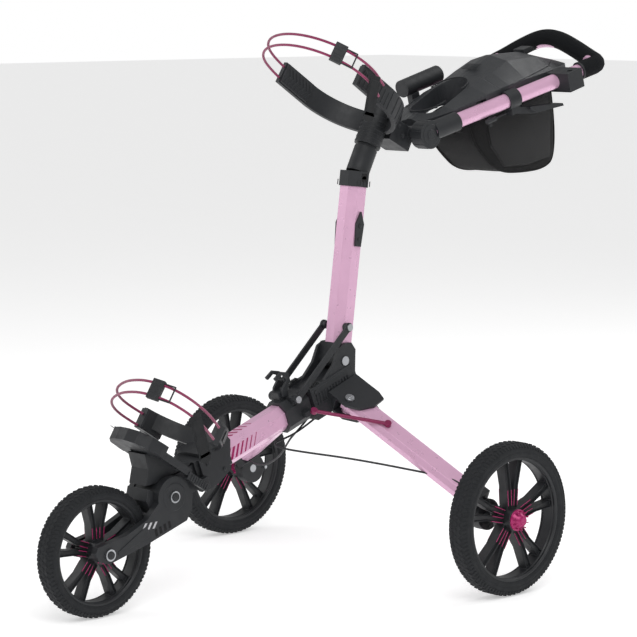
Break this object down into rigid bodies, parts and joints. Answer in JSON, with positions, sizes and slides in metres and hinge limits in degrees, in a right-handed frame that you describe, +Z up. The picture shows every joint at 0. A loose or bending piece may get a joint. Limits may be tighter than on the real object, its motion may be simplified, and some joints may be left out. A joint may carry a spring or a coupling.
{
  "type": "golf push cart",
  "caption": "Folding three-wheeled golf push cart with bag cradles, bungee cords, console, accessory bag and arched handle; no golf bag on it.",
  "frame": {"origin": "on the ground, at the centre of the cart's box seen from above", "axes": "+Z up, +Y from the front wheel towards the handle, +X the cart's right-hand side seen from behind"},
  "size_m": [0.868, 1.3567, 1.0507],
  "materials": {
    "pink_paint": "satin",
    "tyre_rubber": "matte",
    "rim_plastic": "satin",
    "magenta_cap": "satin",
    "plum_paint": "satin",
    "steel": "brushed",
    "foam": "matte",
    "console_shell": "satin",
    "fabric_black": "matte",
    "bungee_cord": "woven",
    "webbing": "matte",
    "charcoal_plastic": "satin"
  },
  "bodies": {
    "keel": {"keel_tube": "pink_paint", "fork_knuckle": "charcoal_plastic", "lower_bag_rest": "charcoal_plastic", "lower_cradle": "charcoal_plastic", "hinge_pins": "steel", "junction_housing": "charcoal_plastic", "lower_bungee_upper_strand": "bungee_cord", "lower_bungee_lower_strand": "bungee_cord", "lower_bungee_clip_and_tab": "webbing"},
    "collar": {"sliding_collar": "charcoal_plastic"},
    "links": {"link_arms": "charcoal_plastic", "link_screws": "steel"},
    "catch": {"transport_catch": "charcoal_plastic"},
    "upright": {"upright_tube": "pink_paint", "upright_foot": "charcoal_plastic", "upright_fittings": "charcoal_plastic", "head_column": "charcoal_plastic", "head_bracket": "charcoal_plastic", "upper_cradle": "charcoal_plastic", "cradle_pads": "charcoal_plastic", "upper_bungee_upper_strand": "bungee_cord", "upper_bungee_lower_strand": "bungee_cord", "upper_bungee_clip_and_tab": "webbing"},
    "handle": {"handle_tube": "pink_paint", "foam_grip": "foam", "handle_sockets": "charcoal_plastic", "console_tray": "console_shell", "brake_lever_mount": "charcoal_plastic", "accessory_clamp": "charcoal_plastic", "umbrella_holder": "charcoal_plastic", "accessory_bag": "fabric_black"},
    "lid": {"console_lid": "console_shell"},
    "latch": {"lid_latch": "charcoal_plastic"},
    "brake_lever": {"brake_lever": "charcoal_plastic"},
    "fork": {"left_fork_arm": "charcoal_plastic", "right_fork_arm": "charcoal_plastic", "fork_guard": "charcoal_plastic", "front_axle": "steel"},
    "front_wheel": {"front_tyre": "tyre_rubber", "front_rim": "rim_plastic"},
    "right_leg": {"right_leg": "pink_paint", "right_hub_bracket": "charcoal_plastic", "right_axle": "steel"},
    "right_tie_rod": {"right_tie_rod": "plum_paint"},
    "right_wheel": {"right_rear_tyre": "tyre_rubber", "right_rear_rim": "rim_plastic", "right_rear_hub_cap": "magenta_cap"},
    "right_release": {"right_wheel_release": "charcoal_plastic"},
    "right_brake_pin": {"right_brake_pin": "steel"},
    "left_leg": {"left_leg": "pink_paint", "left_hub_bracket": "charcoal_plastic", "left_axle": "steel"},
    "left_tie_rod": {"left_tie_rod": "plum_paint"},
    "left_wheel": {"left_rear_tyre": "tyre_rubber", "left_rear_rim": "rim_plastic", "left_rear_hub_cap": "magenta_cap"},
    "left_release": {"left_wheel_release": "charcoal_plastic"},
    "left_brake_pin": {"left_brake_pin": "steel"}
  },
  "joints": [
    {"name": "fork_fold", "type": "hinge", "parent": "keel", "child": "fork", "pos_m": [0, -0.4047, 0.207], "axis": [1, 0, 0], "range_deg": [0, 105]},
    {"name": "front_wheel_spin", "type": "hinge", "parent": "fork", "child": "front_wheel", "pos_m": [0, -0.5576, 0.1207], "axis": [1, 0, 0], "continuous": true},
    {"name": "upright_fold", "type": "hinge", "parent": "keel", "child": "upright", "pos_m": [0, 0.0403, 0.415], "axis": [1, 0, 0], "range_deg": [0, 90]},
    {"name": "collar_slide", "type": "slide", "parent": "keel", "child": "collar", "axis": [0, -0.9397, -0.342], "range_m": [0, 0.0974]},
    {"name": "link_turn", "type": "hinge", "parent": "collar", "child": "links", "pos_m": [0, -0.08855, 0.35293], "axis": [1, 0, 0], "range_deg": [-5.76, 0]},
    {"name": "catch_turn", "type": "hinge", "parent": "collar", "child": "catch", "pos_m": [0, -0.10213, 0.36395], "axis": [1, 0, 0], "range_deg": [-10, 25]},
    {"name": "handle_tilt", "type": "hinge", "parent": "upright", "child": "handle", "pos_m": [0, 0.22644, 0.849], "axis": [1, 0, 0], "range_deg": [-25, 30]},
    {"name": "lid_turn", "type": "hinge", "parent": "handle", "child": "lid", "pos_m": [0, 0.40548, 0.963], "axis": [1, 0, 0], "range_deg": [0, 75]},
    {"name": "latch_slide", "type": "slide", "parent": "lid", "child": "latch", "axis": [0, 0.9636, 0.2672], "range_m": [0, 0.004]},
    {"name": "brake_lever_turn", "type": "hinge", "parent": "handle", "child": "brake_lever", "pos_m": [0, 0.43982, 0.89156], "axis": [1, 0, 0], "range_deg": [0, 9], "stiffness_Nm_per_rad": 1},
    {"name": "right_leg_fold", "type": "hinge", "parent": "keel", "child": "right_leg", "pos_m": [0.05864, 0.02343, 0.33201], "axis": [-0.5447, 0.2852, -0.7886], "range_deg": [0, 42.3]},
    {"name": "right_tie_turn", "type": "hinge", "parent": "collar", "child": "right_tie_rod", "pos_m": [0.05274, -0.06124, 0.3298], "axis": [0.5447, -0.2852, 0.7886], "range_deg": [0, 10.35]},
    {"name": "right_wheel_spin", "type": "hinge", "parent": "right_leg", "child": "right_wheel", "pos_m": [0.394, 0.1183, 0.146], "axis": [1, 0, 0], "continuous": true},
    {"name": "right_release_slide", "type": "slide", "parent": "right_leg", "child": "right_release", "axis": [-1, 0, 0], "range_m": [0, 0.004]},
    {"name": "right_brake_pin_slide", "type": "slide", "parent": "right_leg", "child": "right_brake_pin", "axis": [1, 0, 0], "range_m": [0, 0.012]},
    {"name": "left_leg_fold", "type": "hinge", "parent": "keel", "child": "left_leg", "pos_m": [-0.05864, 0.02343, 0.33201], "axis": [-0.5447, -0.2852, 0.7886], "range_deg": [0, 42.3]},
    {"name": "left_tie_turn", "type": "hinge", "parent": "collar", "child": "left_tie_rod", "pos_m": [-0.05274, -0.06124, 0.3298], "axis": [0.5447, 0.2852, -0.7886], "range_deg": [0, 10.35]},
    {"name": "left_wheel_spin", "type": "hinge", "parent": "left_leg", "child": "left_wheel", "pos_m": [-0.394, 0.1183, 0.146], "axis": [1, 0, 0], "continuous": true},
    {"name": "left_release_slide", "type": "slide", "parent": "left_leg", "child": "left_release", "axis": [1, 0, 0], "range_m": [0, 0.004]},
    {"name": "left_brake_pin_slide", "type": "slide", "parent": "left_leg", "child": "left_brake_pin", "axis": [-1, 0, 0], "range_m": [0, 0.012]}
  ],
  "couplings": [
    {"joint": "collar_slide", "follows": "upright_fold", "m_per_rad": 0.062007},
    {"joint": "link_turn", "follows": "upright_fold", "ratio": -0.064},
    {"joint": "right_leg_fold", "follows": "upright_fold", "ratio": 0.47},
    {"joint": "right_tie_turn", "follows": "upright_fold", "ratio": 0.115},
    {"joint": "right_brake_pin_slide", "follows": "brake_lever_turn", "m_per_rad": 0.076394},
    {"joint": "left_leg_fold", "follows": "upright_fold", "ratio": 0.47},
    {"joint": "left_tie_turn", "follows": "upright_fold", "ratio": 0.115},
    {"joint": "left_brake_pin_slide", "follows": "brake_lever_turn", "m_per_rad": 0.076394}
  ]
}
